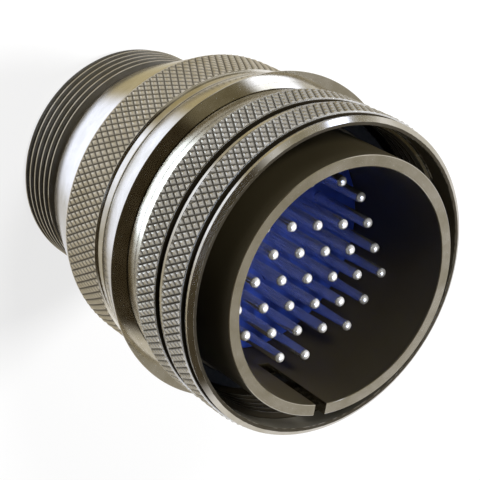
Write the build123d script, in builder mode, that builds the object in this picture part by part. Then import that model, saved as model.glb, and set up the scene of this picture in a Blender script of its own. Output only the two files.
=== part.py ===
from build123d import *
import math
import os

os.makedirs("parts", exist_ok=True)

# Driving dimensions in millimetres. The plug's axis is Z. It stands on its rear end at Z = 0,
# with the mating end up and the barrel's keyway on the -Y side.

# End bell, from the rear end forwards
rear_thread_d = 36.51
rear_thread_length = 8.2
rear_chamfer = 0.6
rear_thread_wall = 3.155
relief_depth = 1.105
relief_length = 2.85
cable_bore_length = 12.0
shoulder_rise = 0.545
shoulder_length = 11.1
bell_wall = 2.55
bell_knurl_length = 8.3
bell_land_length = 2.1
bell_land_step = 0.4
bell_land_rise = 0.35
bell_edge = 0.15

# Shell: rear skirt that the bell screws onto, flange, hub that carries the nut, mating barrel
joint_gap = 0.2
barrel_d = 38.1
barrel_wall = 1.725
barrel_reach = 20.0
rim_edge = 0.12
keyway_width = 2.0
keyway_length = 14.0
insert_stop_step = 0.575
insert_stop_depth = 1.35
skirt_wall = 2.7
skirt_length = 8.4
seal_neck_step = 0.4
seal_neck_length = 1.5
flange_length = 5.55
flange_edge = 0.1
flange_proud = 1.23
flange_rim_width = 1.63
recess_depth = 0.2
hub_step = 0.95
hub_length = 4.8

# Coupling nut
nut_gap = 0.15
nut_wall = 1.5
nut_taper = 1.6
nut_taper_length = 4.35
nut_taper_step = 0.44
nut_knurl_1_length = 4.55
nut_groove_depth = 1.0
nut_groove_length = 1.25
nut_groove_ramp = 0.6
nut_knurl_2_length = 4.45
nut_lip_groove_length = 1.0
nut_lip_ramp = 0.4
nut_lip_drop = 0.35
nut_face_bevel = 0.5
nut_face_bevel_width = 0.7
nut_fit = 0.08
nut_lip_thickness = 2.05
nut_cavity_length = 4.2
nut_thread_height = 0.8
nut_thread_length = 7.6
nut_mouth_step = 0.05

# Grip grooves: the coarse form of the knurls on the bell and the nut
grip_lean = 29.3
grip_depth = 0.4
grip_width = 0.8
grip_end_gap = 0.1
bell_grip_count = 36
nut_grip_count = 26

# Nut retention
retaining_groove_depth = 0.7
retaining_ring_width = 1.5
retaining_ring_room = 0.8
retaining_ring_thickness = 1.2
retaining_ring_split = 3.0
spring_thickness = 0.3
spring_bow = 0.5
stack_gap = 0.1

# Seals
gasket_width = 2.25
gasket_thickness = 0.9
gasket_edge = 0.18
gasket_seat_step = 0.3
o_ring_section = 1.1

# Insulators and contacts
cavity_depth = 19.5
front_insert_length = 8.1
rear_insert_length = 8.5
insert_clearance = 0.05
insert_key_width = 1.8
insert_key_height = 0.9
insert_key_length = 5.0
contact_pitch = 4.55
contact_row_counts = [2, 2, 5, 6, 7, 6, 5, 2]
contact_row_ratios = [2.76, 2.226, 1.36, 0.494, -0.372, -1.238, -2.104, -2.97]
contact_spread_ratios = [1.22, 3, 1, 1, 1, 1, 1, 1]
pin_d = 1.587
pin_reach = 12.16
contact_shoulder_d = 2.4
contact_shoulder_length = 2.0
contact_body_d = 2.2
cup_reach = 7.0
cup_bore_d = 1.6
cup_depth = 5.5
cup_window_length = 3.6
contact_clearance = 0.05

# Follower
follower_length = 3.8
follower_wall = 1.3
follower_edge = 0.26
follower_clearance = 0.1

# Diameters that follow from the barrel outwards, so that every piece keeps to its neighbour
barrel_bore_d = barrel_d - 2 * barrel_wall
insert_bore_d = barrel_bore_d + 2 * insert_stop_step
skirt_thread_d = insert_bore_d + 2 * skirt_wall
seal_neck_d = skirt_thread_d - 2 * seal_neck_step
bell_knurl_d = skirt_thread_d + 2 * bell_wall
bell_land_d = bell_knurl_d - 2 * bell_land_step
bell_front_d = bell_land_d + 2 * bell_land_rise
hub_d = barrel_d + 2 * hub_step
gasket_seat_d = barrel_d + 2 * gasket_seat_step
gasket_d = barrel_d + 2 * gasket_width
retaining_ring_d = hub_d + 2 * retaining_ring_width
nut_cavity_d = retaining_ring_d + 2 * retaining_ring_room
nut_thread_d = nut_cavity_d - 2 * nut_thread_height
nut_mouth_d = nut_cavity_d - 2 * nut_mouth_step
nut_knurl_d = nut_cavity_d + 2 * nut_wall
nut_groove_d = nut_knurl_d - 2 * nut_groove_depth
nut_lip_d = nut_knurl_d - 2 * nut_lip_drop
nut_face_d = nut_lip_d - 2 * nut_face_bevel_width
nut_rear_d = nut_knurl_d - 2 * nut_taper
flange_d = nut_knurl_d + 2 * flange_proud
recess_d = flange_d - 2 * flange_rim_width

# Diameters that follow from the rear thread
cable_bore_d = rear_thread_d - 2 * rear_thread_wall
relief_d = rear_thread_d - 2 * relief_depth
shoulder_d = rear_thread_d + 2 * shoulder_rise

# Heights that follow from the lengths above
relief_z = rear_thread_length
shoulder_z = relief_z + relief_length
bell_knurl_z = shoulder_z + shoulder_length
bell_land_z = bell_knurl_z + bell_knurl_length
bell_front_z = bell_land_z + bell_land_length
flange_z = bell_front_z + joint_gap
flange_front_z = flange_z + flange_length
recess_z = flange_front_z - recess_depth
hub_front_z = recess_z + hub_length
rim_z = recess_z + barrel_reach
skirt_z = flange_z - skirt_length
insert_face_z = rim_z - cavity_depth
insert_stop_z = insert_face_z - insert_stop_depth
insert_joint_z = insert_face_z - front_insert_length
rear_insert_z = insert_joint_z - rear_insert_length
pin_tip_z = insert_face_z + pin_reach
cup_z = rear_insert_z - cup_reach
follower_z = rear_insert_z - follower_length

nut_rear_z = recess_z + nut_gap
nut_knurl_1_z = nut_rear_z + nut_taper_length
nut_groove_z = nut_knurl_1_z + nut_knurl_1_length
nut_ramp_z = nut_groove_z + nut_groove_length
nut_knurl_2_z = nut_ramp_z + nut_groove_ramp
nut_lip_groove_z = nut_knurl_2_z + nut_knurl_2_length
nut_lip_ramp_z = nut_lip_groove_z + nut_lip_groove_length
nut_lip_z = nut_lip_ramp_z + nut_lip_ramp
nut_front_z = nut_lip_z + nut_face_bevel
nut_cavity_z = nut_rear_z + nut_lip_thickness
nut_thread_z = nut_cavity_z + nut_cavity_length
nut_mouth_z = nut_thread_z + nut_thread_length

spring_z = nut_cavity_z + stack_gap
retaining_ring_z = spring_z + spring_thickness + spring_bow + stack_gap
gasket_z = hub_front_z

bore_r = cable_bore_d / 2
insert_r = insert_bore_d / 2 - insert_clearance
nose_r = barrel_bore_d / 2 - insert_clearance


# V cuts laid over to the knurl's helix and crossing both ways. The fine diamonds between them are
# finer than these solids carry.
def grip_cuts(diameter, low_z, high_z, count):
    crest_r = diameter / 2
    reach = (high_z - low_z) / 2 / math.cos(math.radians(grip_lean)) - grip_end_gap
    with BuildPart() as cut:
        with BuildSketch():
            with BuildLine():
                Polyline(
                    (crest_r - grip_depth, 0),
                    (crest_r + grip_depth, grip_width),
                    (crest_r + grip_depth, -grip_width),
                    close=True,
                )
            make_face()
        extrude(amount=reach, both=True)
    cuts = []
    for lean in (grip_lean, -grip_lean):
        leaning = cut.part.rotate(Axis.X, lean).moved(Location((0, 0, (low_z + high_z) / 2)))
        for i in range(count):
            cuts.append(leaning.rotate(Axis.Z, i * 360 / count))
    return cuts


# End bell: rear accessory thread, relief, long tapered shoulder, knurled grip and flared land.
# Inside are the cable bore, a seat for the follower and the thread that holds it on the shell.
pocket_r = insert_bore_d / 2 + follower_clearance
cup_room_r = insert_r - follower_wall - follower_clearance
bell_thread_r = skirt_thread_d / 2 + insert_clearance
seal_bore_r = seal_neck_d / 2 + o_ring_section + insert_clearance
with BuildPart() as end_bell:
    with BuildSketch(Plane.XZ):
        with BuildLine():
            Polyline(
                (bore_r, 0),
                (rear_thread_d / 2 - rear_chamfer, 0),
                (rear_thread_d / 2, rear_chamfer),
                (rear_thread_d / 2, relief_z),
                (relief_d / 2, relief_z + (rear_thread_d - relief_d) / 2),
                (relief_d / 2, shoulder_z),
                (shoulder_d / 2, shoulder_z),
                (bell_knurl_d / 2 - bell_edge, bell_knurl_z),
                (bell_knurl_d / 2, bell_knurl_z),
                (bell_knurl_d / 2, bell_land_z),
                (bell_land_d / 2, bell_land_z),
                (bell_front_d / 2 - bell_edge, bell_front_z - bell_edge),
                (bell_front_d / 2 - bell_edge, bell_front_z),
                (seal_bore_r, bell_front_z),
                (seal_bore_r, bell_front_z - seal_neck_length),
                (bell_thread_r, bell_front_z - seal_neck_length),
                (bell_thread_r, skirt_z - follower_clearance),
                (pocket_r, skirt_z - follower_clearance),
                (pocket_r, follower_z - follower_clearance),
                (cup_room_r, follower_z - follower_clearance),
                (bore_r, cable_bore_length),
                close=True,
            )
        make_face()
    revolve(axis=Axis.Z)
    rear_circles = end_bell.edges().filter_by(GeomType.CIRCLE).group_by(Axis.Z)[0]
    chamfer(rear_circles.sort_by(SortBy.RADIUS)[0], rear_chamfer)
    add(grip_cuts(bell_knurl_d, bell_knurl_z, bell_land_z, bell_grip_count), mode=Mode.SUBTRACT)
end_bell.part.label = "end_bell"

# Shell: skirt, tapered flange with a flat front and a shallow recess, hub and keyed barrel
with BuildPart() as plug_shell:
    with BuildSketch(Plane.XZ):
        with BuildLine():
            Polyline(
                (insert_bore_d / 2, skirt_z),
                (skirt_thread_d / 2 - rim_edge, skirt_z),
                (skirt_thread_d / 2, skirt_z + rim_edge),
                (skirt_thread_d / 2, bell_front_z - seal_neck_length),
                (seal_neck_d / 2, bell_front_z - seal_neck_length),
                (seal_neck_d / 2, flange_z),
                (bell_front_d / 2 - bell_edge, flange_z),
                (bell_front_d / 2, flange_z + bell_edge),
                (flange_d / 2, flange_front_z - flange_edge),
                (flange_d / 2 - flange_edge, flange_front_z),
                (recess_d / 2, flange_front_z),
                (recess_d / 2, recess_z),
                (hub_d / 2, recess_z),
                (hub_d / 2, retaining_ring_z),
                (hub_d / 2 - retaining_groove_depth, retaining_ring_z),
                (hub_d / 2 - retaining_groove_depth, retaining_ring_z + retaining_ring_thickness),
                (hub_d / 2, retaining_ring_z + retaining_ring_thickness),
                (hub_d / 2, hub_front_z - rim_edge),
                (hub_d / 2 - rim_edge, hub_front_z),
                (gasket_seat_d / 2, hub_front_z),
                (gasket_seat_d / 2, hub_front_z + gasket_thickness),
                (barrel_d / 2, hub_front_z + gasket_thickness),
                (barrel_d / 2, rim_z - rim_edge),
                (barrel_d / 2 - rim_edge, rim_z),
                (barrel_bore_d / 2 + rim_edge, rim_z),
                (barrel_bore_d / 2, rim_z - rim_edge),
                (barrel_bore_d / 2, insert_stop_z),
                (insert_bore_d / 2, insert_stop_z),
                close=True,
            )
        make_face()
    revolve(axis=Axis.Z)
    # Polarising keyway through the barrel wall
    with Locations((0, -barrel_d / 2, rim_z)):
        Box(keyway_width, barrel_d - barrel_bore_d + hub_length, 2 * keyway_length, mode=Mode.SUBTRACT)
    # Groove inside the bore that takes the insert's key
    key_room = insert_key_width + 2 * insert_clearance
    key_depth = insert_bore_d / 2 + insert_key_height
    with Locations((0, key_depth / 2, skirt_z)):
        Box(key_room, key_depth, 2 * (insert_joint_z - skirt_z + insert_key_length), mode=Mode.SUBTRACT)
plug_shell.part.label = "plug_shell"

# Coupling nut: tapered rear, two grip bands, grooves, front lip, internal thread and mouth
with BuildPart() as coupling_nut:
    with BuildSketch(Plane.XZ):
        with BuildLine():
            Polyline(
                (hub_d / 2 + nut_fit, nut_rear_z),
                (nut_rear_d / 2, nut_rear_z),
                (nut_knurl_d / 2 - nut_taper_step, nut_knurl_1_z),
                (nut_knurl_d / 2, nut_knurl_1_z),
                (nut_knurl_d / 2, nut_groove_z),
                (nut_groove_d / 2, nut_groove_z),
                (nut_groove_d / 2, nut_ramp_z),
                (nut_knurl_d / 2, nut_knurl_2_z),
                (nut_knurl_d / 2, nut_lip_groove_z),
                (nut_groove_d / 2, nut_lip_groove_z),
                (nut_groove_d / 2, nut_lip_ramp_z),
                (nut_lip_d / 2, nut_lip_z),
                (nut_face_d / 2, nut_front_z),
                (nut_mouth_d / 2, nut_front_z),
                (nut_mouth_d / 2, nut_mouth_z),
                (nut_thread_d / 2, nut_mouth_z - (nut_mouth_d - nut_thread_d) / 2),
                (nut_thread_d / 2, nut_thread_z),
                (nut_cavity_d / 2, nut_thread_z),
                (nut_cavity_d / 2, nut_cavity_z),
                (hub_d / 2 + nut_fit, nut_cavity_z),
                close=True,
            )
        make_face()
    revolve(axis=Axis.Z)
    add(grip_cuts(nut_knurl_d, nut_knurl_1_z, nut_groove_z, nut_grip_count), mode=Mode.SUBTRACT)
    add(grip_cuts(nut_knurl_d, nut_knurl_2_z, nut_lip_groove_z, nut_grip_count), mode=Mode.SUBTRACT)
coupling_nut.part.label = "coupling_nut"

# Retaining ring: a split flat ring that snaps into the hub's groove, ahead of the nut's lip
with BuildPart() as retaining_ring:
    with BuildSketch(Plane.XY.offset(retaining_ring_z + stack_gap / 2)):
        Circle(retaining_ring_d / 2)
        Circle(hub_d / 2 - retaining_groove_depth + stack_gap / 2, mode=Mode.SUBTRACT)
        with Locations((0, retaining_ring_d / 2)):
            Rectangle(retaining_ring_split, retaining_ring_d, mode=Mode.SUBTRACT)
    extrude(amount=retaining_ring_thickness - stack_gap)
retaining_ring.part.label = "retaining_ring"

# Bowed spring washer between the nut's lip and the retaining ring
spring_r = retaining_ring_d / 2
bow_radius = (spring_r ** 2 + spring_bow ** 2) / (2 * spring_bow)
with BuildPart() as spring_washer:
    with BuildSketch(Plane.XY.offset(spring_z - stack_gap)):
        Circle(spring_r)
        Circle(hub_d / 2 + stack_gap, mode=Mode.SUBTRACT)
    extrude(amount=spring_bow + spring_thickness + 2 * stack_gap)
    with BuildSketch(Plane.XZ) as band:
        with Locations((0, spring_z + bow_radius)):
            Circle(bow_radius)
            Circle(bow_radius - spring_thickness, mode=Mode.SUBTRACT)
        with Locations((0, spring_z)):
            Rectangle(2 * retaining_ring_d, hub_length, mode=Mode.INTERSECT)
    extrude(amount=retaining_ring_d, both=True, mode=Mode.INTERSECT)
spring_washer.part.label = "spring_washer"

# Flat gasket round the barrel, which the mating shell's edge presses on
with BuildPart() as mating_gasket:
    with BuildSketch(Plane.XY.offset(gasket_z)):
        Circle(gasket_d / 2)
        Circle(gasket_seat_d / 2 + insert_clearance, mode=Mode.SUBTRACT)
    extrude(amount=gasket_thickness)
    fillet(mating_gasket.edges().group_by(Axis.Z)[-1], gasket_edge)
mating_gasket.part.label = "mating_gasket"

# O-ring in the corner between the bell and the shell's neck
with BuildPart() as bell_o_ring:
    with BuildSketch(Plane.XZ):
        with Locations((seal_neck_d / 2 + (o_ring_section + insert_clearance) / 2,
                        bell_front_z - seal_neck_length + o_ring_section / 2 + insert_clearance)):
            Circle(o_ring_section / 2)
    revolve(axis=Axis.Z)
bell_o_ring.part.label = "bell_o_ring"

# Contact places: centred rows on a triangular grid, with the end rows spread to clear the rim
contact_places = []
for count, row, spread in zip(contact_row_counts, contact_row_ratios, contact_spread_ratios):
    for i in range(count):
        x = (i - (count - 1) / 2) * spread * contact_pitch
        contact_places.append((x, row * contact_pitch))

# Front insert: hard insulator with a nose, a locating key and pin holes stepped for the shoulders
half_shoulder = contact_shoulder_length / 2
pin_hole_r = pin_d / 2 + contact_clearance
shoulder_hole_r = contact_shoulder_d / 2 + contact_clearance
with BuildPart() as front_insert:
    with BuildSketch(Plane.XZ):
        with BuildLine():
            Polyline(
                (0, insert_joint_z),
                (insert_r, insert_joint_z),
                (insert_r, insert_stop_z - insert_clearance),
                (nose_r, insert_stop_z - insert_clearance),
                (nose_r, insert_face_z - rim_edge),
                (nose_r - rim_edge, insert_face_z),
                (0, insert_face_z),
                close=True,
            )
        make_face()
    revolve(axis=Axis.Z)
    with BuildSketch(Plane.XY.offset(insert_joint_z)):
        with Locations((0, insert_r)):
            Rectangle(insert_key_width, 2 * insert_key_height - 4 * insert_clearance)
    extrude(amount=insert_key_length - insert_clearance)
    with BuildSketch(Plane.XY.offset(insert_joint_z)):
        with Locations(*contact_places):
            Circle(pin_hole_r)
    extrude(amount=front_insert_length, mode=Mode.SUBTRACT)
    with BuildSketch(Plane.XY.offset(insert_joint_z)):
        with Locations(*contact_places):
            Circle(shoulder_hole_r)
    extrude(amount=half_shoulder + contact_clearance, mode=Mode.SUBTRACT)
front_insert.part.label = "front_insert"

# Rear insert: backs the contact shoulders and guides the solder wells
body_hole_r = contact_body_d / 2 + contact_clearance
with BuildPart() as rear_insert:
    with BuildSketch(Plane.XY.offset(rear_insert_z)):
        Circle(insert_r)
    extrude(amount=rear_insert_length)
    with BuildSketch(Plane.XY.offset(rear_insert_z)):
        with Locations(*contact_places):
            Circle(body_hole_r)
    extrude(amount=rear_insert_length, mode=Mode.SUBTRACT)
    with BuildSketch(Plane.XY.offset(insert_joint_z)):
        with Locations(*contact_places):
            Circle(shoulder_hole_r)
    extrude(amount=-half_shoulder - contact_clearance, mode=Mode.SUBTRACT)
rear_insert.part.label = "rear_insert"

# Follower: ring that carries the bell's thrust to the rear insert's edge
with BuildPart() as follower:
    with BuildSketch(Plane.XY.offset(follower_z)):
        Circle(insert_r)
        Circle(insert_r - follower_wall, mode=Mode.SUBTRACT)
    extrude(amount=follower_length)
    chamfer(follower.edges().group_by(Axis.Z)[0], follower_edge)
follower.part.label = "follower"


# One contact: rounded pin, retention shoulder, body and an open-sided solder cup
def make_contact(place):
    x, y = place
    with BuildPart() as contact:
        with BuildSketch(Plane.XZ):
            with BuildLine():
                body = Polyline(
                    (0, pin_tip_z - pin_d),
                    (0, cup_z),
                    (contact_body_d / 2, cup_z),
                    (contact_body_d / 2, insert_joint_z - half_shoulder),
                    (contact_shoulder_d / 2, insert_joint_z - half_shoulder),
                    (contact_shoulder_d / 2, insert_joint_z + half_shoulder),
                    (pin_d / 2, insert_joint_z + half_shoulder),
                    (pin_d / 2, pin_tip_z - pin_d / 2),
                )
                tip = CenterArc((0, pin_tip_z - pin_d / 2), pin_d / 2, 0, 90)
                Line(tip @ 1, body @ 0)
            make_face()
        revolve(axis=Axis.Z)
        with BuildSketch(Plane.XY.offset(cup_z)):
            Circle(cup_bore_d / 2)
        extrude(amount=cup_depth, mode=Mode.SUBTRACT)
        with BuildSketch(Plane.XY.offset(cup_z)):
            with Locations((0, contact_body_d / 2)):
                Rectangle(contact_body_d, contact_body_d)
        extrude(amount=cup_window_length, mode=Mode.SUBTRACT)
    return contact.part.moved(Location((x, y, 0)))


pieces = [end_bell, plug_shell, coupling_nut, retaining_ring, spring_washer, mating_gasket,
          bell_o_ring, front_insert, rear_insert, follower]
for piece in pieces:
    export_step(piece.part, "parts/" + piece.part.label + ".step")

for number, place in enumerate(contact_places, start=1):
    contact = make_contact(place)
    contact.label = "pin_contact_%02d" % number
    export_step(contact, "parts/" + contact.label + ".step")
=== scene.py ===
import math
from collections import namedtuple

import bmesh
import bpy
import numpy as np
from mathutils import Matrix, Vector

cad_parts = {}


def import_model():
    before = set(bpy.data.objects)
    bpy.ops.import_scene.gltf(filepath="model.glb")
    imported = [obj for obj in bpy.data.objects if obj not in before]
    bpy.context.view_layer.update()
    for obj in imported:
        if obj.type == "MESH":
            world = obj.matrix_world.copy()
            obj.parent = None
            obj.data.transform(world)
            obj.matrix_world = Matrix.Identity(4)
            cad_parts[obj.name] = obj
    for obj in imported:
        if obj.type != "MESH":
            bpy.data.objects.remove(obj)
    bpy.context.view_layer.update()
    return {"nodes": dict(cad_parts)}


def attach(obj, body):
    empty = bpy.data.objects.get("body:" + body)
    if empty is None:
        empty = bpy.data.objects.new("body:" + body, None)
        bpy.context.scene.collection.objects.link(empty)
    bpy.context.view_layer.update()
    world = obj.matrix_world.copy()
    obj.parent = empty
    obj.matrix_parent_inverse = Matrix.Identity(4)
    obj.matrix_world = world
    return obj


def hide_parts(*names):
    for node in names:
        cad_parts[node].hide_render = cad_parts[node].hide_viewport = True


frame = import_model()

# Sizes in millimetres, as in the part's source, but with finer edges and shallower grooves in the nut.
# Heights are above the rear end.
MM = 0.001

# Rear accessory thread and end bell
BORE_R = 15.1
BORE_LENGTH = 12.0
REAR_CHAMFER = 0.6
REAR_CREST_R = 18.255
REAR_PITCH = 1.47
REAR_DEPTH = 0.8
REAR_ROOT_R = REAR_CREST_R - REAR_DEPTH
RELIEF_Z = 8.2
RELIEF_R = 17.15
REAR_THREAD_END_Z = RELIEF_Z + REAR_DEPTH
SHOULDER_Z = 11.05
SHOULDER_R = 18.8
BELL_KNURL_Z = 22.15
BELL_KNURL_R = 23.15
LAND_Z = 30.45
LAND_R = 22.75
BELL_FRONT_Z = 32.55
BELL_FRONT_R = 23.1
SEAL_BORE_R = 21.35
SEAL_Z = 31.05
BELL_THREAD_R = 20.65
BELL_THREAD_Z = 24.25
POCKET_R = 18.0
POCKET_Z = 18.1
CUP_ROOM_R = 16.45

# Shell
SKIRT_Z = 24.35
SKIRT_R = 20.6
INSERT_BORE_R = 17.9
INSERT_STOP_Z = 37.25
NECK_R = 20.2
FLANGE_Z = 32.75
FLANGE_EDGE_Z = 38.3
FLANGE_R = 25.03
RECESS_Z = 38.1
RECESS_R = 23.4
RECESS_LEAN = 0.04
HUB_R = 20.0
HUB_FRONT_Z = 42.9
RING_Z = 41.3
RING_THICKNESS = 1.2
RING_GROOVE = 0.7
GASKET_THICKNESS = 0.9
GASKET_SEAT_R = 19.35
BARREL_R = 19.05
BARREL_BORE_R = 17.325
KEYWAY_WIDTH = 2.0
KEYWAY_Z = 44.1
RIM_Z = 58.1
RIM_EDGE = 0.12

# Contacts
PIN_TIP_Z = 50.76

# Coupling nut
NUT_BORE_R = 20.08
NUT_REAR_Z = 38.25
NUT_REAR_R = 22.38
KNURL_1_Z = 42.6
NUT_KNURL_R = 23.8
GROOVE_Z = 47.15
GROOVE_R = 22.8
LAND_2_Z = 48.0
LAND_2_R = 23.34
KNURL_2_Z = 49.0
LIP_GROOVE_Z = 53.45
LIP_RAMP_Z = 54.45
LIP_Z = 54.85
LIP_R = 23.45
NUT_FRONT_Z = 55.35
NUT_FACE_R = 22.75
MOUTH_R = 22.25
MOUTH_Z = 52.1
MOUTH_CHAMFER = 0.08
NUT_THREAD_R = 21.5
NUT_THREAD_Z = 44.5
COUPLING_PITCH = 1.411
COUPLING_DEPTH = 0.74
COUPLING_ROOT_R = NUT_THREAD_R + COUPLING_DEPTH
NUT_CAVITY_R = 22.3
NUT_CAVITY_Z = 40.3

# Points that stand in for a sharp corner, as (outwards, upwards) steps from it
RELIEF_BEND = ((0.1, -0.1), (0.0, 0.1))
SHOULDER_FILLET = ((0.0, -0.15), (0.05, -0.04), (0.15, 0.0))
SHOULDER_EDGE = ((-0.12, 0.0), (-0.02, 0.06), (0.04, 0.16))
SHOULDER_END = ((-0.24, -0.05),)
BELL_FRONT_EDGE = ((-0.04, -0.12), (-0.06, -0.04), (-0.15, 0.0))
FLANGE_REAR_EDGE = ((-0.15, 0.0), (-0.05, 0.05), (0.03, 0.15))
FLANGE_FRONT_EDGE = ((-0.08, -0.2), (-0.02, -0.07), (-0.07, 0.0))
RECESS_EDGE = ((0.02, 0.0), (0.0, -0.02))
NUT_BORE_EDGE = ((0.0, 0.1), (0.1, 0.0))
NUT_REAR_EDGE = ((-0.06, 0.0), (0.0, 0.06))
TAPER_END = ((-0.44, -0.04),)
BAND_END = ((-0.34, -0.03),)
GROOVE_START = ((-0.38, -0.02),)
GROOVE_FLOOR = ((0.1, 0.06), (0.07, 0.14), (0.1, 0.40))
LAND_2_START = ((-0.06, -0.06),)
LAND_2_RUN = ((0.0, 0.0), (0.08, 0.60))
RAMP_END = ((-0.22, -0.04),)
LIP_RAMP_START = ((-0.14, -0.25),)
LIP_RAMP_BEND = ((-0.10, -0.20),)

# Knurls: diamonds round the piece, length of one diamond along the axis, radius of the tops, how far the
# pyramids rise, and how much deeper the narrow grooves are cut
Knurl = namedtuple("Knurl", "diamonds length crest_r rise cut")
BELL_KNURL = Knurl(126, 2.05, BELL_KNURL_R, 0.18, 0.03)
NUT_KNURL = Knurl(130, 2.07, NUT_KNURL_R, 0.26, 0.04)
KNURL_STEPS = 8
KNURL_FRONT_GAP = 0.06
# A diamond from its groove (0) to its top (0.5): how far down the pyramid lies, the narrow groove, the
# painted shade with some dirt
KNURL_PLACES = (0.0, 0.125, 0.25, 0.375, 0.5)
KNURL_SLOPE = (1.0, 0.60, 0.29, 0.08, 0.0)
KNURL_GROOVE = (1.0, 0.33, 0.0, 0.0, 0.0)
KNURL_DIRT_AND_SHADE = (0.95, 0.52, 0.10, 0.0, 0.0)
# A band starts and ends with a plain ring this far under its tops
KNURL_END = 0.13
# Plain rings have one point for this many on a knurl
COARSE = 4

# A thread's round crest: shares of the pitch from its middle, and how far down each lies; then its flat root
CREST_SHARES = (0.0, 0.04, 0.08, 0.12, 0.15)
CREST_DROPS = (0.0, 0.008, 0.03, 0.07, 0.12)
ROOT_SHARES = (0.40, 0.5, 0.60)
OUTSIDE, INSIDE = 1, -1

# How bright a place is, 1 for bare rubbed plating and 0 for painted shade with some dirt in grooves, roots
# and hollows. Threads are given from the crest down.
REAR_WEAR_AND_LIGHT = (1.0, 1.0, 0.70, 0.24, 0.13)
REAR_ROOT_WEAR_AND_LIGHT = 0.13
# The nut's inside below its crests, its mouth and front face, the groove floors and the bands' ends are
# painted shade alone, for shadow and dark reflections
INNER_WEAR_AND_LIGHT = (1.0, 1.0, 0.8, 0.2, 0.02)
INNER_ROOT_LIGHT = 0.01
MOUTH_LIGHT = 0.42
NUT_FACE_LIGHT = 0.03
GROOVE_LIGHT = 0.01
KNURL_END_LIGHT = 0.55

# Points round the shell, and on each side of the keyway's middle, which lies at three quarters of a turn
SHELL_COUNT = 240
KEYWAY_POINTS = 2
KEYWAY_FIRST = SHELL_COUNT * 3 // 4 - KEYWAY_POINTS
KEYWAY_LAST = KEYWAY_FIRST + 2 * KEYWAY_POINTS

# Rings this far from both ends of a long face keep it evenly shaded
SUPPORT = 0.04
LONG_FACE = 6 * SUPPORT

# Points nearer than this are one, and shorter edges go, both in metres. Corners are sharp above the angle.
SAME_POINT = 2e-7
NO_LENGTH = 1e-7
SHARP_ANGLE = math.radians(14)

# Material places on a turned piece
PLAIN, GRIP, THREAD = 0, 1, 2


# Mesh making

def circle(count, radius, height, wear_and_light=1.0):
    """One ring of points round the axis, each with a share of wear and light that its material reads, low
    where shade is painted.
    """
    angle = np.arange(count) * (2 * math.pi / count)
    radius = np.broadcast_to(radius, angle.shape)
    height = np.broadcast_to(height, angle.shape)
    wear_and_light = np.broadcast_to(wear_and_light, angle.shape)
    return np.stack([radius * np.cos(angle), radius * np.sin(angle), height, wear_and_light], axis=1)


def corner(radius, height, steps):
    """The (radius, height) points that stand in for a sharp corner."""
    return [(radius + outwards, height + upwards) for outwards, upwards in steps]


class Skin:
    """Strips of faces round the axis, which join where their rings meet."""

    def __init__(self):
        self.points = []
        self.faces = []
        self.looks = []
        self.look = PLAIN
        self.total = 0

    def add(self, ring):
        """Adds a ring, and gives back its first point's number and its count."""
        start = self.total
        self.points.append(ring)
        self.total += len(ring)
        return start, len(ring)

    def face(self, corners):
        """Adds a face with the material place in use."""
        self.faces.append(corners)
        self.looks.append(self.look)

    def join(self, low, high, row=None):
        """Faces between two rings. With a row number the squares are cut along alternate diagonals."""
        (a, low_count), (b, high_count) = low, high
        if low_count != high_count:
            self.join_unequal(low, high)
            return
        for i in range(low_count):
            k = (i + 1) % low_count
            square = (a + i, a + k, b + k, b + i)
            if row is None:
                self.face(square)
            elif (i + row) % 2:
                self.face((square[0], square[1], square[3]))
                self.face((square[1], square[2], square[3]))
            else:
                self.face((square[0], square[1], square[2]))
                self.face((square[0], square[2], square[3]))

    def join_unequal(self, low, high):
        """Faces between a coarse ring and a fine one, whose count is a multiple of the other's."""
        coarse_low = low[1] < high[1]
        (coarse, few), (fine, many) = (low, high) if coarse_low else (high, low)
        share = many // few
        half = share // 2
        for i in range(few):
            c0, c1 = coarse + i, coarse + (i + 1) % few
            fine_points = [fine + (i * share + j) % many for j in range(share + 1)]
            for j in range(share):
                near = c0 if j < half else c1
                if coarse_low:
                    self.face((near, fine_points[j + 1], fine_points[j]))
                else:
                    self.face((near, fine_points[j], fine_points[j + 1]))
            middle = fine_points[half]
            self.face((c0, c1, middle) if coarse_low else (c1, c0, middle))

    def profile(self, corners, count, wear_and_light=1.0):
        """A turned surface through (radius, height) corners, outside upwards and inside downwards."""
        stops = [corners[0]]
        for (r0, z0), (r1, z1) in zip(corners, corners[1:]):
            reach = math.hypot(r1 - r0, z1 - z0)
            if reach > LONG_FACE:
                for share in (SUPPORT / reach, 1 - SUPPORT / reach):
                    stops.append((r0 + (r1 - r0) * share, z0 + (z1 - z0) * share))
            stops.append((r1, z1))
        rings = [self.add(circle(count, r, z, wear_and_light)) for r, z in stops]
        for low, high in zip(rings, rings[1:]):
            self.join(low, high)
        return rings[0], rings[-1]

    def build(self, name):
        """The piece as an object, with its wear and painted light as an attribute of the points."""
        points = np.concatenate(self.points)
        mesh = bpy.data.meshes.new(name)
        mesh.from_pydata((points[:, :3] * MM).tolist(), [], self.faces)
        mesh.polygons.foreach_set("material_index", self.looks)
        attribute = mesh.attributes.new("wear_and_light", "FLOAT", "POINT")
        attribute.data.foreach_set("value", points[:, 3].astype(np.float32))
        work = bmesh.new()
        work.from_mesh(mesh)
        bmesh.ops.remove_doubles(work, verts=work.verts, dist=SAME_POINT)
        bmesh.ops.dissolve_degenerate(work, edges=work.edges, dist=NO_LENGTH)
        work.to_mesh(mesh)
        work.free()
        for face in mesh.polygons:
            face.use_smooth = True
        mesh.set_sharp_from_angle(angle=SHARP_ANGLE)
        piece = bpy.data.objects.new(name, mesh)
        bpy.context.scene.collection.objects.link(piece)
        return piece


def coarse_count(pattern):
    """Points on the plain rings of a knurled piece."""
    return pattern.diamonds * KNURL_STEPS // COARSE


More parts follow.
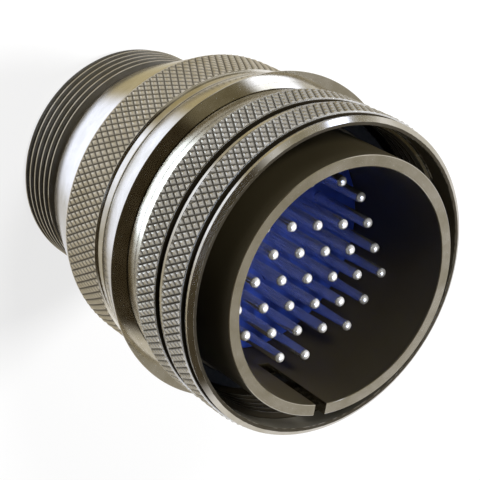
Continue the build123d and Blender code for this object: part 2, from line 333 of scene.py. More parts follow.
def knurl(skin, pattern, low_z, high_z):
    """A band of low pyramids with narrow grooves between them. Gives back its first and last ring."""
    count = pattern.diamonds * KNURL_STEPS
    rows = round((high_z - low_z) / pattern.length * KNURL_STEPS)
    across = np.arange(count) / KNURL_STEPS
    skin.look = GRIP
    rings = []
    for j in range(rows + 1):
        along = j / KNURL_STEPS
        left = np.abs((across + along + 0.5) % 1 - 0.5)
        right = np.abs((across - along + 0.5) % 1 - 0.5)
        nearest = np.minimum(left, right)
        slope = np.interp(nearest, KNURL_PLACES, KNURL_SLOPE)
        groove = np.interp(nearest, KNURL_PLACES, KNURL_GROOVE)
        radius = pattern.crest_r - pattern.rise * slope - pattern.cut * groove
        # the grooves get painted shade with some dirt; the plain end rings get none
        dirt_and_shade = np.interp(nearest, KNURL_PLACES, KNURL_DIRT_AND_SHADE)
        if j in (0, rows):
            radius = pattern.crest_r - KNURL_END
            dirt_and_shade = 0.0
        height = low_z + (high_z - low_z) * j / rows
        rings.append(skin.add(circle(count, radius, height, 1 - dirt_and_shade)))
    for j in range(rows):
        skin.join(rings[j], rings[j + 1], row=j)
    skin.look = PLAIN
    return rings[0], rings[-1]


def screw(skin, count, pitch, low_z, high_z, shape, limit, side):
    """A helical thread. shape is what round_crest gives, and limit the radius to keep within at a height."""
    per_turn = len(shape)
    turns = math.ceil((high_z - low_z) / pitch) + 2
    rows = turns * per_turn
    start = low_z - pitch
    across = np.arange(count) / count
    skin.look = THREAD
    rings = []
    for k in range(rows):
        turn, part = divmod(k, per_turn)
        share, radius, wear_and_light = shape[part]
        height = np.clip(start + pitch * (turn + share + across), low_z, high_z)
        bound = limit(height)
        radius = np.minimum(radius, bound) if side == OUTSIDE else np.maximum(radius, bound)
        rings.append(skin.add(circle(count, radius, height, wear_and_light)))
    for k in range(rows - 1):
        a, b = rings[k][0], rings[k + 1][0]
        for i in range(count - 1):
            skin.face((a + i, a + i + 1, b + i + 1, b + i)[::side])
        # where a turn ends, the next one goes on
        c = rings[min(k + per_turn, rows - 1)][0]
        d = rings[min(k + 1 + per_turn, rows - 1)][0]
        skin.face((a + count - 1, c, d, b + count - 1)[::side])
    skin.look = PLAIN


def round_crest(crest_r, root_r, side, wear_and_light, root_wear):
    """One turn of a thread as (share of the pitch, radius, wear and light): round crest, straight flanks,
    flat root. Low wear and light paints shade on flanks and root.
    """
    arc = zip(CREST_SHARES, CREST_DROPS, wear_and_light)
    left = [(share, crest_r - side * drop, worn_and_lit) for share, drop, worn_and_lit in arc]
    middle = [(share, root_r, root_wear) for share in ROOT_SHARES]
    right = [(1 - share, radius, worn_and_lit) for share, radius, worn_and_lit in left[:0:-1]]
    return left + middle + right


# Materials

# Noise as (scale per metre, detail, roughness). The scales of lines are in their own coordinates.
LINE_NOISE = (1.0, 4.0, 0.65)
STAIN_NOISE = (260.0, 4.0, 0.6)
GRAIN_NOISE = (5200.0, 2.0, 0.5)
SILVER_CLOUD = (700.0, 3.0, 0.6)
SILVER_GRAIN = (9000.0, 2.0, 0.5)
BLUE_CLOUD = (350.0, 4.0, 0.55)
BLUE_GRAIN = (4000.0, 3.0, 0.6)
BRUSH_NOISE = (1.0, 3.0, 0.6)
RUBBER_CLOUD = (900.0, 4.0, 0.6)
RUBBER_GRAIN = (9000.0, 3.0, 0.6)

# Bump as (strength, depth in metres)
PLATE_BUMP = (0.03, 0.00002)
SILVER_BUMP = (0.12, 0.00001)
BLUE_BUMP = (0.2, 0.00003)
STEEL_BUMP = (0.2, 0.00001)
RUBBER_BUMP = (0.4, 0.00003)

# Two tones each, and the values of the noise where one ends and the other is full
PLATE_TONES = ((0.47, 0.43, 0.33, 1.0), (0.60, 0.56, 0.47, 1.0))
GRIP_TONES = ((0.60, 0.55, 0.43, 1.0), (0.70, 0.65, 0.54, 1.0))
NUT_GRIP_TONES = ((0.49, 0.47, 0.41, 1.0), (0.61, 0.59, 0.53, 1.0))
SILVER_TONES = ((0.80, 0.79, 0.76, 1.0), (0.93, 0.92, 0.90, 1.0))
BLUE_TONES = ((0.023, 0.056, 0.36, 1.0), (0.038, 0.090, 0.52, 1.0))
STEEL_TONES = ((0.42, 0.42, 0.42, 1.0), (0.56, 0.56, 0.56, 1.0))
RUBBER_TONES = ((0.012, 0.012, 0.012, 1.0), (0.03, 0.03, 0.03, 1.0))
CLOUD_EDGES = (0.3, 0.7)
STAIN_EDGES = (0.35, 0.66)

# Plated metal: roughness, then turning marks, which are counted per millimetre of radius and leaning height
PLATE_ROUGH = 0.12
GRIP_ROUGH = 0.33
NUT_GRIP_ROUGH = 0.23
THREAD_ROUGH = 0.18
TURNING_MARKS = 6.0
TURNING_LEAN = 1.3
TURNING_BREAKS = 1.5
LINE_TONE = 0.15
LINE_ROUGH = 0.06
STAIN_ROUGH = 0.04
GRAIN_HEIGHT = 0.3

# Painted shade with some dirt in what isn't rubbed, and painted shade in the barrel's bore and on its
# outside, standing in for shadow and dark reflections
DIRT_AND_SHADE_TONE = (0.016, 0.011, 0.004, 1.0)
DIRT_AND_SHADE_CURVE = 0.8
DIRT_AND_SHADE_ROUGH = 0.25
DIRT_AND_SHADE_SHEEN = 0.05
WORN_EDGE = (0.62, 0.56, 0.44, 1.0)
BORE_SHADE_TONE = (0.060, 0.048, 0.024, 1.0)
BORE_SHADE_ROUGH = 0.30
MASK_MARGIN = 0.04
BORE_SHADE_MASK_R = 17.4
BARREL_SHADE_MASK_R = BARREL_R - MASK_MARGIN
METAL_LOST = 0.6

# Silver: satin and whiter from one height under the tip to the other
TIP_START = 0.75
TIP_FULL = 0.35
SILVER_METAL = 0.96
TIP_METAL_LOST = 0.41

# Roughness of the others, and how much their noise adds
SILVER_ROUGH, SILVER_ROUGH_NOISE = 0.10, 0.10
BLUE_ROUGH, BLUE_ROUGH_NOISE = 0.26, 0.14
STEEL_ROUGH, STEEL_ROUGH_NOISE = 0.22, 0.2
RUBBER_ROUGH, RUBBER_ROUGH_NOISE = 0.5, 0.25
BLUE_IOR = 1.5
RUBBER_SHEEN = 0.2
BRUSH_SCALE = (900.0, 9000.0, 900.0)


class Nodes:
    """A short way to write the node tree of a material or a world."""

    def __init__(self, owner, output="OutputMaterial"):
        owner.use_nodes = True
        self.owner = owner
        self.tree = owner.node_tree
        self.tree.nodes.clear()
        self.output = self.node(output)

    def node(self, kind, inputs=None, **settings):
        made = self.tree.nodes.new("ShaderNode" + kind)
        for key, value in settings.items():
            setattr(made, key, value)
        for key, value in (inputs or {}).items():
            self.put(made.inputs[key], value)
        return made

    def put(self, socket, value):
        if isinstance(value, bpy.types.NodeSocket):
            self.tree.links.new(value, socket)
        else:
            socket.default_value = value

    def math(self, operation, a, b=0.0):
        return self.node("Math", {0: a, 1: b}, operation=operation).outputs[0]

    def sum(self, base, factor, value):
        """base + factor * value"""
        return self.math("ADD", base, self.math("MULTIPLY", value, factor))

    def span(self, value, start, end, low=0.0, high=1.0, kind="SMOOTHSTEP"):
        """Goes from low to high while value goes from start to end."""
        inputs = {"Value": value, "From Min": start, "From Max": end, "To Min": low, "To Max": high}
        return self.node("MapRange", inputs, interpolation_type=kind).outputs[0]

    def mix(self, share, a, b):
        """Colour a, or b where share is 1. The node has its colours at inputs 6 and 7 and output 2."""
        return self.node("Mix", {0: share, 6: a, 7: b}, data_type="RGBA").outputs[2]

    def tones(self, value, edges, colours):
        """The first colour up to the first edge, and the second one from the second edge on."""
        made = self.node("ValToRGB", {0: value})
        for element, place, colour in zip(made.color_ramp.elements, edges, colours):
            element.position = place
            element.color = colour
        return made.outputs[0]

    def noise(self, vector, scale, detail, rough):
        inputs = {"Vector": vector, "Scale": scale, "Detail": detail, "Roughness": rough}
        return self.node("TexNoise", inputs).outputs[0]

    def bump(self, height, strength, depth):
        return self.node("Bump", {"Strength": strength, "Distance": depth, "Height": height}).outputs[0]

    def place(self):
        """Position in the piece's own coordinates, in metres."""
        return self.node("TexCoord").outputs["Object"]

    def surface(self, inputs):
        """Ends a material with a Principled shader, and gives the material back."""
        shader = self.node("BsdfPrincipled", inputs)
        self.put(self.output.inputs[0], shader.outputs[0])
        return self.owner


def material_nodes(name):
    """A new material's empty node tree."""
    return Nodes(bpy.data.materials.new(name))


def darkened(n, share, tone, rough, dark_tone, dark_rough):
    """Colour, roughness and metal of plating that is darkened where share is 1, for painted shade and dirt.
    """
    return n.mix(share, tone, dark_tone), n.sum(rough, dark_rough, share), n.sum(1.0, -METAL_LOST, share)


def bore_shade_share(n, radius, z):
    """1 where shade is painted: in the barrel's bore in front of the insert's stop, and on its outside in
    front of the ring.
    """
    inside = n.math("LESS_THAN", radius, BORE_SHADE_MASK_R * MM)
    inside = n.math("MULTIPLY", inside, n.math("GREATER_THAN", z, INSERT_STOP_Z * MM))
    outside = n.math("GREATER_THAN", radius, BARREL_SHADE_MASK_R * MM)
    outside = n.math("MULTIPLY", outside, n.math("GREATER_THAN", z, RING_Z * MM))
    return n.math("MAXIMUM", inside, outside)


def plated_metal(name, tones, roughness=PLATE_ROUGH, worn_and_lit=False, painted_bore_shade=False):
    """Plated light alloy: warm olive tone, fine turning marks, faint stains, and painted shade with some dirt
    where it isn't rubbed bright.
    """
    n = material_nodes(name)
    place = n.place()
    x, y, z = n.node("SeparateXYZ", {0: place}).outputs
    angle = n.math("ARCTAN2", y, x)
    radius = n.math("SQRT", n.math("ADD", n.math("MULTIPLY", x, x), n.math("MULTIPLY", y, y)))
    along = n.math("MULTIPLY", n.sum(radius, TURNING_LEAN, z), TURNING_MARKS / MM)
    turning = n.node("CombineXYZ", {0: along, 1: n.math("MULTIPLY", angle, TURNING_BREAKS), 2: 0.0})
    lines = n.noise(turning.outputs[0], *LINE_NOISE)
    stain = n.noise(place, *STAIN_NOISE)
    grain = n.noise(place, *GRAIN_NOISE)
    tone = n.tones(stain, STAIN_EDGES, tones)
    tone = n.mix(n.math("MULTIPLY", lines, LINE_TONE), tone, tones[0])
    middle = (LINE_ROUGH + STAIN_ROUGH) / 2
    rough = n.sum(n.sum(roughness - middle, LINE_ROUGH, lines), STAIN_ROUGH, stain)
    metallic = 1.0
    # painted shade with some dirt where the wear and light attribute is low
    if worn_and_lit:
        wear_and_light = n.node("Attribute", attribute_name="wear_and_light").outputs["Fac"]
        dirt_and_shade = n.math("SUBTRACT", 1.0, n.math("POWER", wear_and_light, DIRT_AND_SHADE_CURVE))
        tone, rough, metallic = darkened(n, dirt_and_shade, tone, rough, DIRT_AND_SHADE_TONE, DIRT_AND_SHADE_ROUGH)
    # painted shade in the barrel's bore and on its outside
    if painted_bore_shade:
        tone, rough, metallic = darkened(n, bore_shade_share(n, radius, z), tone, rough, BORE_SHADE_TONE, BORE_SHADE_ROUGH)
    bump = n.bump(n.sum(lines, GRAIN_HEIGHT, grain), *PLATE_BUMP)
    inputs = {"Base Color": tone, "Metallic": metallic, "Roughness": rough, "Normal": bump}
    if worn_and_lit:
        inputs.update({"Specular IOR Level": DIRT_AND_SHADE_SHEEN, "Specular Tint": WORN_EDGE})
    return n.surface(inputs)


def silver_plate(name):
    """Silver: bright on the pin, satin and whiter at the rounded tip."""
    n = material_nodes(name)
    place = n.place()
    height = n.node("SeparateXYZ", {0: place}).outputs[2]
    tip = n.span(height, (PIN_TIP_Z - TIP_START) * MM, (PIN_TIP_Z - TIP_FULL) * MM, kind="LINEAR")
    cloud = n.noise(place, *SILVER_CLOUD)
    return n.surface({
        "Base Color": n.tones(cloud, CLOUD_EDGES, SILVER_TONES),
        "Metallic": n.sum(SILVER_METAL, -TIP_METAL_LOST, tip),
        "Roughness": n.sum(SILVER_ROUGH, SILVER_ROUGH_NOISE, cloud),
        "Normal": n.bump(n.noise(place, *SILVER_GRAIN), *SILVER_BUMP),
    })


def blue_insulator(name):
    """Moulded blue plastic with a fine grain."""
    n = material_nodes(name)
    place = n.place()
    grain = n.noise(place, *BLUE_GRAIN)
    return n.surface({
        "Base Color": n.tones(n.noise(place, *BLUE_CLOUD), CLOUD_EDGES, BLUE_TONES),
        "Roughness": n.sum(BLUE_ROUGH, BLUE_ROUGH_NOISE, grain),
        "Normal": n.bump(grain, *BLUE_BUMP),
        "IOR": BLUE_IOR,
    })


def spring_steel(name):
    """Brushed steel."""
    n = material_nodes(name)
    brush = n.node("Mapping", {"Vector": n.place(), "Scale": BRUSH_SCALE}).outputs[0]
    lines = n.noise(brush, *BRUSH_NOISE)
    return n.surface({
        "Base Color": n.tones(lines, CLOUD_EDGES, STEEL_TONES),
        "Metallic": 1.0,
        "Roughness": n.sum(STEEL_ROUGH, STEEL_ROUGH_NOISE, lines),
        "Normal": n.bump(lines, *STEEL_BUMP),
    })


def seal_rubber(name):
    """Matt black rubber."""
    n = material_nodes(name)
    place = n.place()
    grain = n.noise(place, *RUBBER_GRAIN)
    return n.surface({
        "Base Color": n.tones(n.noise(place, *RUBBER_CLOUD), CLOUD_EDGES, RUBBER_TONES),
        "Roughness": n.sum(RUBBER_ROUGH, RUBBER_ROUGH_NOISE, grain),
        "Specular IOR Level": RUBBER_SHEEN,
        "Normal": n.bump(grain, *RUBBER_BUMP),
    })


# Pieces

def rear_thread_limit(height):
    """The rear thread's largest radius: a chamfer at its start and a run-out into the relief."""
    return np.minimum(REAR_ROOT_R + height, REAR_CREST_R - np.maximum(height - RELIEF_Z, 0))


def coupling_thread_limit(height):
    """The coupling thread's smallest radius: a chamfer at both ends."""
    return np.maximum(NUT_THREAD_R, COUPLING_ROOT_R - np.minimum(height - NUT_THREAD_Z, MOUTH_Z - height))


def end_bell():
    """Rear thread, relief, long shoulder, knurled grip and land, then the inside back to the rear."""
    skin = Skin()
    count = coarse_count(BELL_KNURL)
    skin.profile([
        (BORE_R, REAR_CHAMFER),
        (BORE_R + REAR_CHAMFER, 0.0),
        (REAR_ROOT_R, 0.0),
    ], count)
    # the rear thread's flanks and roots get painted shade with some dirt
    shape = round_crest(REAR_CREST_R, REAR_ROOT_R, OUTSIDE, REAR_WEAR_AND_LIGHT, REAR_ROOT_WEAR_AND_LIGHT)
    screw(skin, count, REAR_PITCH, 0.0, REAR_THREAD_END_Z, shape, rear_thread_limit, OUTSIDE)
    _, shoulder = skin.profile([
        (REAR_ROOT_R, REAR_THREAD_END_Z),
        *corner(RELIEF_R, REAR_THREAD_END_Z + REAR_ROOT_R - RELIEF_R, RELIEF_BEND),
        *corner(RELIEF_R, SHOULDER_Z, SHOULDER_FILLET),
        *corner(SHOULDER_R, SHOULDER_Z, SHOULDER_EDGE),
        *corner(BELL_KNURL_R, BELL_KNURL_Z, SHOULDER_END),
    ], count)
    low, high = knurl(skin, BELL_KNURL, BELL_KNURL_Z, LAND_Z - KNURL_FRONT_GAP)
    skin.join(shoulder, low)
    land, _ = skin.profile([
        (LAND_R, LAND_Z),
        *corner(BELL_FRONT_R, BELL_FRONT_Z, BELL_FRONT_EDGE),
        (SEAL_BORE_R, BELL_FRONT_Z),
        (SEAL_BORE_R, SEAL_Z),
        (BELL_THREAD_R, SEAL_Z),
        (BELL_THREAD_R, BELL_THREAD_Z),
        (POCKET_R, BELL_THREAD_Z),
        (POCKET_R, POCKET_Z),
        (CUP_ROOM_R, POCKET_Z),
        (BORE_R, BORE_LENGTH),
        (BORE_R, REAR_CHAMFER),
    ], count)
    skin.join(high, land)
    piece = skin.build("end_bell_turned")
    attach(piece, "plug")
    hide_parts("end_bell")
    return piece


def nut_band(skin, count, start, low_z, groove_z, groove_end):
    """A knurled band from the ring start on, and the narrow groove in front of it, up to groove_end."""
    low, high = knurl(skin, NUT_KNURL, low_z, groove_z - KNURL_FRONT_GAP)
    skin.join(start, low)
    skin.look = GRIP
    [(radius, height)] = corner(NUT_KNURL_R, groove_z, BAND_END)
    # the band's end ring is darkened by painted shade
    end = skin.add(circle(count, radius, height, KNURL_END_LIGHT))
    skin.join(high, end)
    skin.look = THREAD
    # the groove floor is painted shade
    groove, _ = skin.profile([
        *corner(NUT_KNURL_R, groove_z, GROOVE_START),
        *corner(GROOVE_R, groove_z, GROOVE_FLOOR),
        groove_end,
    ], count, wear_and_light=GROOVE_LIGHT)
    skin.join(end, groove)
    skin.look = PLAIN


def nut_outside(skin, count):
    """Taper, first band and groove, land and ramp, second band and groove, and the lip with its bevel."""
    _, taper = skin.profile([
        *corner(NUT_BORE_R, NUT_REAR_Z, NUT_BORE_EDGE),
        *corner(NUT_REAR_R, NUT_REAR_Z, NUT_REAR_EDGE),
        *corner(NUT_KNURL_R, KNURL_1_Z, TAPER_END),
    ], count)
    [land_start] = corner(LAND_2_R, LAND_2_Z, LAND_2_START)
    nut_band(skin, count, taper, KNURL_1_Z, GROOVE_Z, land_start)
    _, ramp = skin.profile([
        land_start,
        *corner(LAND_2_R, LAND_2_Z, LAND_2_RUN),
        *corner(NUT_KNURL_R, KNURL_2_Z, RAMP_END),
    ], count)
    [lip_start] = corner(LIP_R, LIP_RAMP_Z, LIP_RAMP_START)
    nut_band(skin, count, ramp, KNURL_2_Z, LIP_GROOVE_Z, lip_start)
    skin.profile([
        lip_start,
        *corner(LIP_R, LIP_RAMP_Z, LIP_RAMP_BEND),
        (LIP_R, LIP_Z),
        (NUT_FACE_R, NUT_FRONT_Z),
    ], count)


def nut_inside(skin, count):
    """Front face, mouth, coupling thread and the cavity that the retaining ring turns in."""
    skin.look = THREAD
    mouth_start = (MOUTH_R, NUT_FRONT_Z - MOUTH_CHAMFER)
    # the front face, the mouth and the inside are darkened by painted shade; the thread's crests stay bright
    skin.profile([
        (NUT_FACE_R, NUT_FRONT_Z),
        (MOUTH_R + MOUTH_CHAMFER, NUT_FRONT_Z),
        mouth_start,
    ], count, wear_and_light=NUT_FACE_LIGHT)
    skin.profile([mouth_start, (MOUTH_R, MOUTH_Z)], count, wear_and_light=MOUTH_LIGHT)
    skin.profile([(MOUTH_R, MOUTH_Z), (COUPLING_ROOT_R, MOUTH_Z)], count, wear_and_light=INNER_ROOT_LIGHT)
    shape = round_crest(NUT_THREAD_R, COUPLING_ROOT_R, INSIDE, INNER_WEAR_AND_LIGHT, INNER_ROOT_LIGHT)
    screw(skin, count, COUPLING_PITCH, NUT_THREAD_Z, MOUTH_Z, shape, coupling_thread_limit, INSIDE)
    skin.look = THREAD
    skin.profile([
        (COUPLING_ROOT_R, NUT_THREAD_Z),
        (NUT_CAVITY_R, NUT_THREAD_Z),
        (NUT_CAVITY_R, NUT_CAVITY_Z),
        (NUT_BORE_R, NUT_CAVITY_Z),
        corner(NUT_BORE_R, NUT_REAR_Z, NUT_BORE_EDGE)[0],
    ], count, wear_and_light=INNER_ROOT_LIGHT)


def coupling_nut():
    """The nut that turns on the hub: its outside up to the front edge, then its inside back to the rear."""
    skin = Skin()
    count = coarse_count(NUT_KNURL)
    nut_outside(skin, count)
    nut_inside(skin, count)
    piece = skin.build("coupling_nut_turned")
    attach(piece, "nut")
    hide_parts("coupling_nut")
    return piece


def shell_circle(radius, height, slotted):
    """One ring of the barrel. A slotted one has its two points beside the keyway moved onto the walls."""
    ring = circle(SHELL_COUNT, radius, height)
    if slotted:
        half = KEYWAY_WIDTH / 2
        side = -math.sqrt(radius * radius - half * half)
        ring[KEYWAY_FIRST, 0:2] = (-half, side)
        ring[KEYWAY_LAST, 0:2] = (half, side)
    return ring


def shell_body(skin):
    """Skirt, neck, tapered flange with its recess, hub with the ring's groove, and the gasket's seat."""
    skin.profile([
        (INSERT_BORE_R, INSERT_STOP_Z),
        (INSERT_BORE_R, SKIRT_Z),
        (SKIRT_R - RIM_EDGE, SKIRT_Z),
        (SKIRT_R, SKIRT_Z + RIM_EDGE),
        (SKIRT_R, SEAL_Z),
        (NECK_R, SEAL_Z),
        (NECK_R, FLANGE_Z),
        *corner(BELL_FRONT_R, FLANGE_Z, FLANGE_REAR_EDGE),
        *corner(FLANGE_R, FLANGE_EDGE_Z, FLANGE_FRONT_EDGE),
        *corner(RECESS_R, FLANGE_EDGE_Z, RECESS_EDGE),
        (RECESS_R - RECESS_LEAN, RECESS_Z),
        (HUB_R, RECESS_Z),
        (HUB_R, RING_Z),
        (HUB_R - RING_GROOVE, RING_Z),
        (HUB_R - RING_GROOVE, RING_Z + RING_THICKNESS),
        (HUB_R, RING_Z + RING_THICKNESS),
        (HUB_R, HUB_FRONT_Z - RIM_EDGE),
        (HUB_R - RIM_EDGE, HUB_FRONT_Z),
        (GASKET_SEAT_R, HUB_FRONT_Z),
        (GASKET_SEAT_R, HUB_FRONT_Z + GASKET_THICKNESS),
        (BARREL_R, HUB_FRONT_Z + GASKET_THICKNESS),
    ], SHELL_COUNT)


def barrel(skin):
    """The mating barrel with its keyway, up its outside, over the rim and down its bore."""
    bend = RIM_EDGE / 2
    walls = [
        (BARREL_R, HUB_FRONT_Z + GASKET_THICKNESS, False),
        (BARREL_R, KEYWAY_Z - SUPPORT, False),
        (BARREL_R, KEYWAY_Z, True),
        (BARREL_R, RIM_Z - RIM_EDGE - SUPPORT, True),
        (BARREL_R, RIM_Z - RIM_EDGE, True),
        (BARREL_R - bend, RIM_Z - bend, True),
        (BARREL_R - RIM_EDGE, RIM_Z, True),
        (BARREL_BORE_R + RIM_EDGE, RIM_Z, True),
        (BARREL_BORE_R + bend, RIM_Z - bend, True),
        (BARREL_BORE_R, RIM_Z - RIM_EDGE, True),
        (BARREL_BORE_R, RIM_Z - RIM_EDGE - SUPPORT, True),
        (BARREL_BORE_R, KEYWAY_Z, True),
        (BARREL_BORE_R, KEYWAY_Z - SUPPORT, False),
        (BARREL_BORE_R, INSERT_STOP_Z, False),
        (INSERT_BORE_R, INSERT_STOP_Z, False),
    ]
    starts = [skin.add(shell_circle(*wall))[0] for wall in walls]
    for k, (low, high) in enumerate(zip(starts, starts[1:])):
        slotted = walls[k][2] and walls[k + 1][2]
        for i in range(SHELL_COUNT):
            if slotted and KEYWAY_FIRST <= i < KEYWAY_LAST:
                continue
            j = (i + 1) % SHELL_COUNT
            skin.face((low + i, low + j, high + j, high + i))
    # the keyway's two walls and its end
    cut = [start for start, wall in zip(starts, walls) if wall[2]]
    skin.face(tuple(start + KEYWAY_FIRST for start in cut))
    skin.face(tuple(start + KEYWAY_LAST for start in cut)[::-1])
    for i in range(KEYWAY_FIRST, KEYWAY_LAST):
        skin.face((cut[0] + i, cut[0] + i + 1, cut[-1] + i + 1, cut[-1] + i))


def shell():
    """The plug's shell: skirt, flange, hub and mating barrel in one piece."""
    skin = Skin()
    shell_body(skin)
    barrel(skin)
    piece = skin.build("plug_shell_turned")
    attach(piece, "plug")
    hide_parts("plug_shell")
    return piece


def paint(piece, *materials):
    """Gives a piece its materials. Emptying the list forgets which face had which, so that is kept first."""
    looks = [face.material_index for face in piece.data.polygons]
    piece.data.materials.clear()
    for material in materials:
        piece.data.materials.append(material)
    piece.data.polygons.foreach_set("material_index", looks)


def dress_cad(finishes, pin_finish):
    """Gives the frame's own solids their materials, by the name of their node."""
    for name, node in frame["nodes"].items():
        material = pin_finish if name.startswith("pin_contact") else finishes.get(name)
        if material is None:
            continue
        if node.material_slots:
            for slot in node.material_slots:
                slot.material = material
        else:
            node.data.materials.append(material)


metal = plated_metal("plated_plain", PLATE_TONES)
# the shell's plating, with painted shade in its bore and on the barrel's outside
shell_metal_shaded = plated_metal("plated_shell_painted_shade", PLATE_TONES, painted_bore_shade=True)
knurled = plated_metal("plated_knurled", GRIP_TONES, roughness=GRIP_ROUGH, worn_and_lit=True)
nut_knurled = plated_metal("plated_knurled_nut", NUT_GRIP_TONES, roughness=NUT_GRIP_ROUGH, worn_and_lit=True)
threaded = plated_metal("plated_threaded", PLATE_TONES, roughness=THREAD_ROUGH, worn_and_lit=True)
silver = silver_plate("contact_silver")
blue = blue_insulator("insulator_blue")
steel = spring_steel("spring_steel_blank")
rubber = seal_rubber("seal_rubber_black")

# Materials of a turned piece in the order PLAIN, GRIP, THREAD
paint(end_bell(), metal, knurled, threaded)
paint(coupling_nut(), metal, nut_knurled, threaded)
paint(shell(), shell_metal_shaded)
dress_cad({
    "follower": metal,
    "retaining_ring": steel,
    "spring_washer": steel,
    "mating_gasket": rubber,
    "bell_o_ring": rubber,
    "front_insert": blue,
    "rear_insert": blue,
}, silver)


# Studio

# Ways through the room: level towards the camera, level across it, straight at it, and the one that the flat
# faces mirror. Then how much of one way leans into another.
TOWARDS = (-0.8904, 0.4554, 0.0)
ACROSS = (-0.4554, -0.8904, 0.0)
CAMERA_SIDE = (-0.6633, 0.3393, 0.667)
FLAT_SIDE = (0.5877, -0.3006, 0.75)
TURN_SLOPE = 0.6
SHIFT_SLOPE = 0.195
LEAN_SLOPE = 0.2

# Colours of the room
WHITE = (1.0, 1.0, 1.0, 1.0)
AMBIENT = (0.06, 0.06, 0.06, 1.0)
ABOVE_NEAR = (0.95, 0.97, 1.05, 1.0)
ABOVE_FAR = (1.50, 1.55, 1.75, 1.0)
UNDER_OLIVE = (0.56, 0.48, 0.28, 1.0)
UNDER_GREY = (0.76, 0.76, 0.78, 1.0)
UNDER_PALE = (0.88, 0.88, 0.92, 1.0)
HORIZON = (0.92, 0.92, 0.96, 1.0)
LOW_DARK = (0.58, 0.54, 0.45, 1.0)
LOW_CARD = (1.55, 1.68, 2.10, 1.0)
DARK_SIDE = (0.085, 0.070, 0.048, 1.0)
GREY_WALL = (0.43, 0.41, 0.34, 1.0)
STRIP_LIGHT = (4.6, 5.3, 7.8, 1.0)
FLAT_PATCH = (0.42, 0.40, 0.36, 1.0)
SOFT_BOX = (5.6, 6.9, 10.2, 1.0)

# Layers of light. Each is a colour and one or more areas, of which the strongest counts. An area is where all
# its bands meet, and a band is (way, from, to, softness). END is past both ends of every way.
END = 3.0
UNDER_HORIZON = (("up", -END, 0.0, 0.1),)
UNDER_LAYERS = (
    (UNDER_GREY, (("side", -0.05, END, 0.20),)),
    (UNDER_PALE, (("up", -0.82, END, 0.10),)),
)
ABOVE_LAYERS = (
    (ABOVE_FAR, (("near", -END, -0.2, 0.1),)),
)
ROOM_LAYERS = (
    # pale horizon all round
    (HORIZON, (("up", -0.35, 0.35, 0.15),)),
    # dark band under the horizon on the camera's side
    (LOW_DARK, (("up", -0.93, -0.45, 0.03), ("turn", -0.05, END, 0.08))),
    # bright card below, fading to one side
    (LOW_CARD, (("shift", -0.20, END, 0.05), ("shift", -END, 0.44, 0.012), ("side", -0.22, END, 0.08),
                ("side", -END, 0.26, 0.24), ("up", -END, -0.5, 0.02))),
    # dark side of the room: towards one side, and in front of the camera
    (DARK_SIDE, (("up", 0.12, 0.90, 0.04), ("turn", 0.10, END, 0.15)),
                (("near", 0.29, END, 0.03), ("side", -0.40, END, 0.12), ("up", 0.12, END, 0.04))),
    # grey wall on the other side, with a strip of light
    (GREY_WALL, (("side", -END, -0.58, 0.10), ("up", 0.38, 0.90, 0.06))),
    (STRIP_LIGHT, (("side", -END, -0.62, 0.10), ("lean", 0.49, 0.59, 0.02), ("near", -0.55, -0.02, 0.10))),
    # grey patch that the flat faces mirror
    (FLAT_PATCH, (("flat", 0.982, END, 0.012),)),
    # soft box overhead
    (SOFT_BOX, (("near", -0.12, 0.36, 0.03), ("side", -0.24, 0.30, 0.06), ("up", 0.88, END, 0.02))),
    # dark spot round the camera
    (DARK_SIDE, (("aim", 0.905, END, 0.018),)),
)

FLOOR_SIZE = 6.0
FLOOR_HEIGHT = -0.00002
FLOOR_TONE = (0.9, 0.9, 0.9, 1.0)
FLOOR_GLOW = 0.78

# Lamps: place and target in metres, size in metres, power in watts
LAMP_TARGET = (0, 0, 0.04)
LAMP_SIZE = 0.12
KEY_PLACE, KEY_POWER = (0.30, 0.10, 0.35), 3.0
FILL_PLACE, FILL_POWER = (-0.06, 0.28, 0.36), 1.2

# Camera: place, lens and sensor in millimetres, clipping in metres, and the ways in which the picture's
# right, its top and the camera's back face
CAMERA_PLACE = (-145.046, 72.223, 216.656)
CAMERA_RIGHT = (0.80455, 0.16947, 0.56919)
CAMERA_UP = (0.04582, 0.93785, -0.34399)
CAMERA_BACK = (-0.59211, 0.30284, 0.74679)
CAMERA_LENS = 124.94
CAMERA_SENSOR = 36.0
CAMERA_NEAR, CAMERA_FAR = 0.01, 20.0


def seen_shares(n):
    """1 for a ray from the camera, then 1 for one that a mirror or a glass sends on. Matt light has 0."""
    path = n.node("LightPath")
    mirror = n.math("MAXIMUM", path.outputs["Is Glossy Ray"], path.outputs["Is Transmission Ray"])
    return path.outputs["Is Camera Ray"], mirror


def room_ways(n):
    """How far a direction goes along each way that the layers name."""
    direction = n.node("TexCoord").outputs["Generated"]

    def along(way):
        return n.node("VectorMath", {0: direction, 1: way}, operation="DOT_PRODUCT").outputs["Value"]

    near, side = along(TOWARDS), along(ACROSS)
    up = n.node("SeparateXYZ", {0: direction}).outputs[2]
    return {
        "near": near,
        "side": side,
        "up": up,
        "turn": n.sum(near, TURN_SLOPE, side),
        "shift": n.sum(near, SHIFT_SLOPE, side),
        "lean": n.sum(up, LEAN_SLOPE, near),
        "aim": along(CAMERA_SIDE),
        "flat": along(FLAT_SIDE),
    }


def area_share(n, ways, bands):
    """1 where all the bands meet, with soft edges."""
    share = 1.0
    for way, low, high, soft in bands:
        rise = n.span(ways[way], low - soft, low + soft)
        fall = n.span(ways[way], high - soft, high + soft, low=1.0, high=0.0)
        share = n.math("MULTIPLY", share, n.math("MULTIPLY", rise, fall))
    return share


def layered(n, ways, colour, layers):
    """A colour with layers of light over it."""
    for layer, first, *others in layers:
        share = area_share(n, ways, first)
        for bands in others:
            share = n.math("MAXIMUM", share, area_share(n, ways, bands))
        colour = n.mix(share, colour, layer)
    return colour


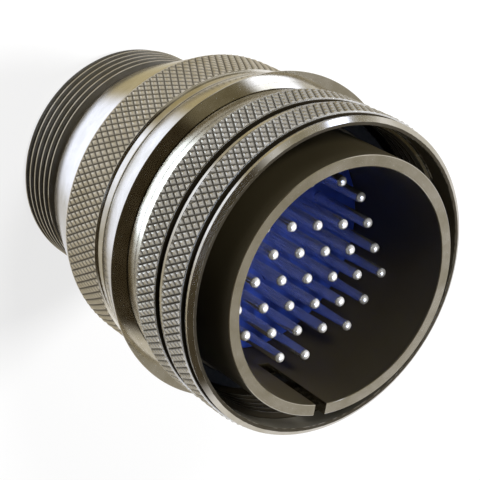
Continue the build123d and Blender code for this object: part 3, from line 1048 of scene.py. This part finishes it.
def floor():
    """A pale floor just under the part, which catches its shadow."""
    size, height = FLOOR_SIZE, FLOOR_HEIGHT
    corners = [(-size, -size, height), (size, -size, height), (size, size, height), (-size, size, height)]
    mesh = bpy.data.meshes.new("floor")
    mesh.from_pydata(corners, [], [(0, 1, 2, 3)])
    plane = bpy.data.objects.new("floor", mesh)
    bpy.context.scene.collection.objects.link(plane)
    n = material_nodes("floor_pale")
    eye, mirror = seen_shares(n)
    matt = n.node("BsdfDiffuse", {"Color": FLOOR_TONE})
    glow = n.node("Emission", {"Color": WHITE, "Strength": 1.0})
    share = n.math("MULTIPLY", n.math("MAXIMUM", eye, mirror), FLOOR_GLOW)
    both = n.node("MixShader", {0: share, 1: matt.outputs[0], 2: glow.outputs[0]})
    n.put(n.output.inputs[0], both.outputs[0])
    plane.data.materials.append(n.owner)
    plane.visible_glossy = False


def world():
    """White for the camera, the room for mirrors, and a faint even light for matt surfaces."""
    made = bpy.data.worlds.new("studio")
    bpy.context.scene.world = made
    n = Nodes(made, "OutputWorld")
    made.cycles.sampling_method = "NONE"
    eye, mirror = seen_shares(n)
    ways = room_ways(n)
    under = layered(n, ways, UNDER_OLIVE, UNDER_LAYERS)
    above = layered(n, ways, ABOVE_NEAR, ABOVE_LAYERS)
    room = n.mix(area_share(n, ways, UNDER_HORIZON), above, under)
    room = layered(n, ways, room, ROOM_LAYERS)
    seen = n.mix(eye, n.mix(mirror, AMBIENT, room), WHITE)
    back = n.node("Background", {"Color": seen, "Strength": 1.0})
    n.put(n.output.inputs[0], back.outputs[0])


def lamp(name, place, power):
    """A square lamp that shines on the part and isn't mirrored in it."""
    data = bpy.data.lights.new(name, "AREA")
    data.shape = "RECTANGLE"
    data.size = data.size_y = LAMP_SIZE
    data.energy = power
    made = bpy.data.objects.new(name, data)
    made.location = place
    made.rotation_euler = (Vector(LAMP_TARGET) - Vector(place)).to_track_quat("-Z", "Y").to_euler()
    made.visible_glossy = False
    bpy.context.scene.collection.objects.link(made)


def camera():
    """The camera that was fitted to the photo."""
    data = bpy.data.cameras.new("camera")
    data.sensor_width = CAMERA_SENSOR
    data.lens = CAMERA_LENS
    data.clip_start = CAMERA_NEAR
    data.clip_end = CAMERA_FAR
    made = bpy.data.objects.new("camera", data)
    bpy.context.scene.collection.objects.link(made)
    turn = Matrix((CAMERA_RIGHT, CAMERA_UP, CAMERA_BACK)).transposed()
    made.matrix_world = Matrix.Translation(Vector(CAMERA_PLACE) * MM) @ turn.to_4x4()
    bpy.context.scene.camera = made


floor()
world()
camera()
lamp("key", KEY_PLACE, KEY_POWER)
lamp("fill", FILL_PLACE, FILL_POWER)
bpy.context.scene.view_settings.view_transform = "Standard"
